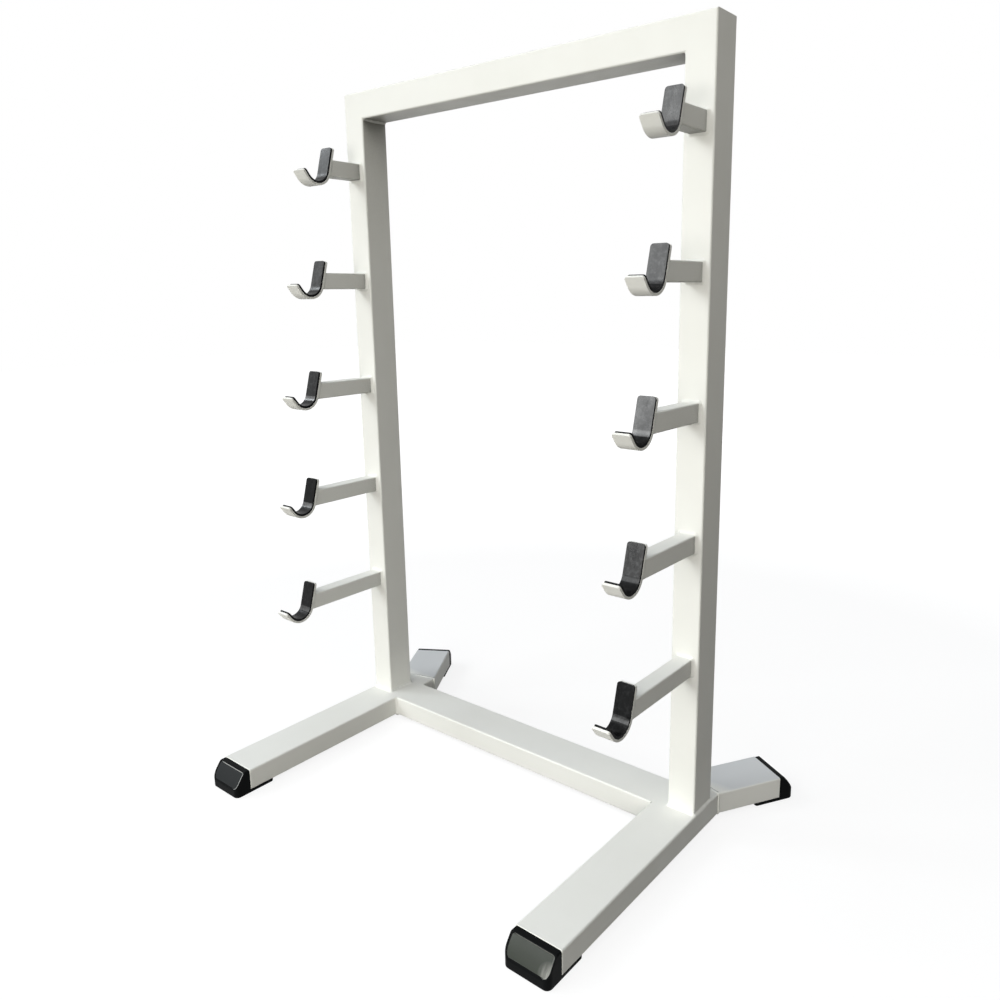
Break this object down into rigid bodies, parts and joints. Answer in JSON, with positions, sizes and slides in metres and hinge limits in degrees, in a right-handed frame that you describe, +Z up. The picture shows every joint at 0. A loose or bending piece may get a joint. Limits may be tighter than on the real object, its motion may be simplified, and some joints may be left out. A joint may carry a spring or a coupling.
{
  "type": "barbell storage rack",
  "caption": "Free-standing white steel rack that stores barbells across pairs of rubber-lined hooks, on splayed feet with black end caps.",
  "frame": {"origin": "on the floor, under the middle of the rack's footprint", "axes": "+Z up; +X to the right as seen from the hooks' side; +Y to the back, away from the hooks"},
  "size_m": [1.2058, 0.8334, 1.6183],
  "materials": {
    "frame_paint": "white powder coat, low gloss",
    "liner_rubber": "smooth black rubber, satin",
    "cap_plastic": "moulded black plastic, satin"
  },
  "bodies": {
    "root": {"top_beam": "frame_paint", "cross_beam": "frame_paint", "left_upright": "frame_paint", "left_front_foot": "frame_paint", "left_front_cap": "cap_plastic", "left_rear_leg": "frame_paint", "left_rear_cap": "cap_plastic", "left_arm_1": "frame_paint", "left_hook_1": "frame_paint", "left_liner_1": "liner_rubber", "left_arm_2": "frame_paint", "left_hook_2": "frame_paint", "left_liner_2": "liner_rubber", "left_arm_3": "frame_paint", "left_hook_3": "frame_paint", "left_liner_3": "liner_rubber", "left_arm_4": "frame_paint", "left_hook_4": "frame_paint", "left_liner_4": "liner_rubber", "left_arm_5": "frame_paint", "left_hook_5": "frame_paint", "left_liner_5": "liner_rubber", "right_upright": "frame_paint", "right_front_foot": "frame_paint", "right_front_cap": "cap_plastic", "right_rear_leg": "frame_paint", "right_rear_cap": "cap_plastic", "right_arm_1": "frame_paint", "right_hook_1": "frame_paint", "right_liner_1": "liner_rubber", "right_arm_2": "frame_paint", "right_hook_2": "frame_paint", "right_liner_2": "liner_rubber", "right_arm_3": "frame_paint", "right_hook_3": "frame_paint", "right_liner_3": "liner_rubber", "right_arm_4": "frame_paint", "right_hook_4": "frame_paint", "right_liner_4": "liner_rubber", "right_arm_5": "frame_paint", "right_hook_5": "frame_paint", "right_liner_5": "liner_rubber"}
  },
  "joints": []
}
